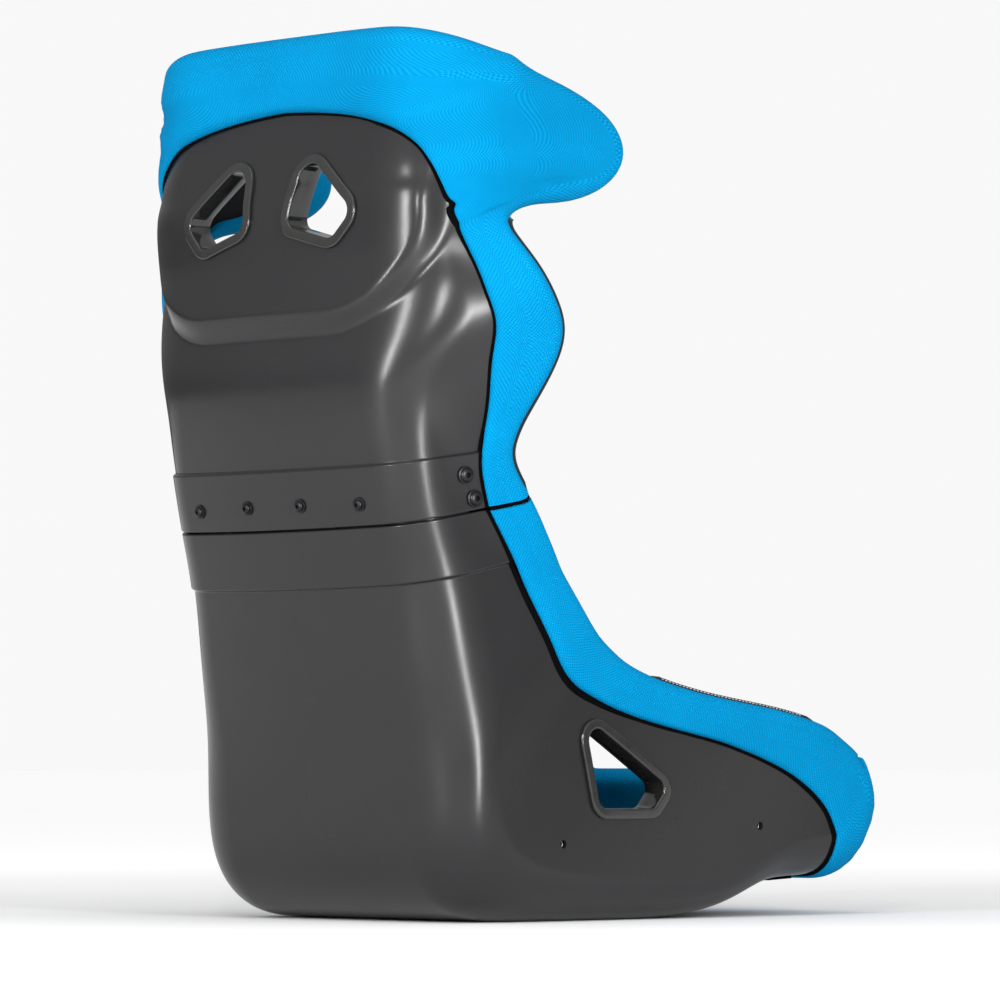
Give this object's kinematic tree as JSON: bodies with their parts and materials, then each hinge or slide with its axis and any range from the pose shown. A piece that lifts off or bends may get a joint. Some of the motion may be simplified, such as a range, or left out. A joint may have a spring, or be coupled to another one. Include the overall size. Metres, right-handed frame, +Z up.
{
  "type": "racing seat",
  "caption": "Fixed-back bucket racing seat with a head halo: two bolted laminate shells, fabric-covered padded rims, harness openings and lift-off cushions.",
  "frame": {"origin": "middle of the bounding box on the floor", "axes": "+X to the sitter's left, -Y forward, +Z up"},
  "size_m": [0.5526, 0.7136, 0.8914],
  "materials": {
    "laminate": "satin dark grey gelcoat",
    "blue_fabric": "fine woven mesh",
    "black_fabric": "fine woven mesh",
    "gloss_plastic": "gloss black moulding",
    "black_steel": "black oxide",
    "zinc_steel": "zinc plated"
  },
  "bodies": {
    "seat": {"band_bolt_1": "black_steel", "band_bolt_2": "black_steel", "band_bolt_3": "black_steel", "band_bolt_4": "black_steel", "band_nut_1": "zinc_steel", "band_nut_2": "zinc_steel", "band_nut_3": "zinc_steel", "band_nut_4": "zinc_steel", "band_washer_1": "black_steel", "band_washer_2": "black_steel", "band_washer_3": "black_steel", "band_washer_4": "black_steel", "crotch_bezel": "gloss_plastic", "front_closing_strip": "black_fabric", "head_pad": "black_fabric", "head_side_pad_left": "black_fabric", "head_side_pad_right": "black_fabric", "hip_pad_left": "black_fabric", "hip_pad_right": "black_fabric", "lap_bezel_left": "gloss_plastic", "lap_bezel_right": "gloss_plastic", "lower_shell": "laminate", "lower_trim": "blue_fabric", "mount_insert_left_front": "zinc_steel", "mount_insert_left_rear": "zinc_steel", "mount_insert_right_front": "zinc_steel", "mount_insert_right_rear": "zinc_steel", "shoulder_bezel_left": "gloss_plastic", "shoulder_bezel_right": "gloss_plastic", "shoulder_pad_left": "black_fabric", "shoulder_pad_right": "black_fabric", "side_bolt_left_1": "black_steel", "side_bolt_left_2": "black_steel", "side_bolt_right_1": "black_steel", "side_bolt_right_2": "black_steel", "side_nut_left_1": "zinc_steel", "side_nut_left_2": "zinc_steel", "side_nut_right_1": "zinc_steel", "side_nut_right_2": "zinc_steel", "splice_band": "laminate", "upper_shell": "laminate", "upper_trim": "blue_fabric"},
    "seat_cushion": {"seat_cushion": "black_fabric"},
    "thigh_cushion": {"thigh_cushion": "black_fabric"},
    "lumbar_pad": {"lumbar_pad": "black_fabric"},
    "back_pad": {"back_pad": "black_fabric"}
  },
  "joints": [
    {"name": "seat_cushion_lift", "type": "slide", "parent": "seat", "child": "seat_cushion", "axis": [0, 0, 1], "range_m": [0, 0.9]},
    {"name": "thigh_cushion_lift", "type": "slide", "parent": "seat", "child": "thigh_cushion", "axis": [0, 0, 1], "range_m": [0, 0.9]},
    {"name": "lumbar_pad_pull", "type": "slide", "parent": "seat", "child": "lumbar_pad", "axis": [0, -1, 0], "range_m": [0, 0.45]},
    {"name": "back_pad_pull", "type": "slide", "parent": "seat", "child": "back_pad", "axis": [0, -1, 0], "range_m": [0, 0.7]}
  ]
}
